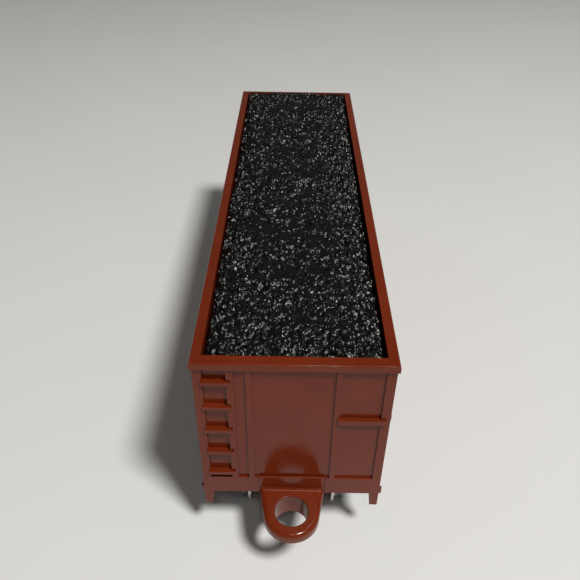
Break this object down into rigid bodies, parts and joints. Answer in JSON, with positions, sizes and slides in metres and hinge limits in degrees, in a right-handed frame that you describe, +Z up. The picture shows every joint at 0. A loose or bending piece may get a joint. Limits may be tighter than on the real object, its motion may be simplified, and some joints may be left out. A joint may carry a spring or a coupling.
{
  "type": "model hopper car",
  "caption": "High-sided model hopper car with a ribbed body, heaped lift-out coal load, slope-sheet floor with drop doors, swivelling four-wheel trucks and loop-and-peg couplers.",
  "frame": {"origin": "on the plane the wheels stand on, under the middle of the car", "axes": "+Z up, +Y along the car from the loop coupler end to the peg coupler end, +X across the car"},
  "size_m": [0.085, 0.3546, 0.1186],
  "materials": {
    "body_plastic": "glossy moulded oxide-red plastic",
    "load_plastic": "glossy black moulded coal",
    "frame_plastic": "satin black moulded plastic",
    "coupler_plastic": "glossy moulded oxide-red plastic",
    "wheel_metal": "blackened steel, worn bright on the flanges",
    "axle_metal": "ground steel",
    "spring_metal": "spring steel wire",
    "screw_metal": "dark zinc-plated steel"
  },
  "bodies": {
    "car": {"body_shell": "body_plastic", "front_left_step": "body_plastic", "front_right_step": "body_plastic", "rear_left_step": "body_plastic", "rear_right_step": "body_plastic", "hopper_floor": "frame_plastic", "front_underframe": "frame_plastic", "rear_underframe": "frame_plastic", "coupler_loop": "coupler_plastic", "coupler_peg": "coupler_plastic", "coupler_screws": "screw_metal", "body_screws": "screw_metal", "underframe_screws": "screw_metal", "front_kingpin": "screw_metal", "front_kingpin_washer": "screw_metal", "front_door_pin": "axle_metal", "front_hopper_bay": "frame_plastic", "rear_kingpin": "screw_metal", "rear_kingpin_washer": "screw_metal", "rear_door_pin": "axle_metal", "rear_hopper_bay": "frame_plastic"},
    "load": {"coal_load": "load_plastic"},
    "front_door": {"front_hopper_door": "frame_plastic"},
    "front_truck": {"front_truck_bolster": "frame_plastic", "front_truck_left_side_frame": "frame_plastic", "front_truck_right_side_frame": "frame_plastic", "front_truck_springs": "spring_metal", "front_truck_frame_screws": "screw_metal"},
    "front_truck_outer_wheelset": {"front_truck_outer_axle": "axle_metal", "front_truck_outer_left_wheel": "wheel_metal", "front_truck_outer_right_wheel": "wheel_metal"},
    "front_truck_inner_wheelset": {"front_truck_inner_axle": "axle_metal", "front_truck_inner_left_wheel": "wheel_metal", "front_truck_inner_right_wheel": "wheel_metal"},
    "rear_door": {"rear_hopper_door": "frame_plastic"},
    "rear_truck": {"rear_truck_bolster": "frame_plastic", "rear_truck_left_side_frame": "frame_plastic", "rear_truck_right_side_frame": "frame_plastic", "rear_truck_springs": "spring_metal", "rear_truck_frame_screws": "screw_metal"},
    "rear_truck_outer_wheelset": {"rear_truck_outer_axle": "axle_metal", "rear_truck_outer_left_wheel": "wheel_metal", "rear_truck_outer_right_wheel": "wheel_metal"},
    "rear_truck_inner_wheelset": {"rear_truck_inner_axle": "axle_metal", "rear_truck_inner_left_wheel": "wheel_metal", "rear_truck_inner_right_wheel": "wheel_metal"}
  },
  "joints": [
    {"name": "load_lift", "type": "slide", "parent": "car", "child": "load", "axis": [0, 0, 1], "range_m": [0, 0.06]},
    {"name": "front_door_drop", "type": "hinge", "parent": "car", "child": "front_door", "pos_m": [0, -0.04629, 0.02629], "axis": [-1, 0, 0], "range_deg": [0, 22]},
    {"name": "front_truck_swivel", "type": "hinge", "parent": "car", "child": "front_truck", "pos_m": [0, -0.0993, 0.0267], "axis": [0, 0, 1], "range_deg": [-12, 12]},
    {"name": "front_truck_outer_roll", "type": "hinge", "parent": "front_truck", "child": "front_truck_outer_wheelset", "pos_m": [0, -0.1273, 0.0145], "axis": [1, 0, 0], "continuous": true},
    {"name": "front_truck_inner_roll", "type": "hinge", "parent": "front_truck", "child": "front_truck_inner_wheelset", "pos_m": [0, -0.0713, 0.0145], "axis": [1, 0, 0], "continuous": true},
    {"name": "rear_door_drop", "type": "hinge", "parent": "car", "child": "rear_door", "pos_m": [0, 0.04629, 0.02629], "axis": [1, 0, 0], "range_deg": [0, 22]},
    {"name": "rear_truck_swivel", "type": "hinge", "parent": "car", "child": "rear_truck", "pos_m": [0, 0.0993, 0.0267], "axis": [0, 0, 1], "range_deg": [-12, 12]},
    {"name": "rear_truck_outer_roll", "type": "hinge", "parent": "rear_truck", "child": "rear_truck_outer_wheelset", "pos_m": [0, 0.1273, 0.0145], "axis": [1, 0, 0], "continuous": true},
    {"name": "rear_truck_inner_roll", "type": "hinge", "parent": "rear_truck", "child": "rear_truck_inner_wheelset", "pos_m": [0, 0.0713, 0.0145], "axis": [1, 0, 0], "continuous": true}
  ]
}
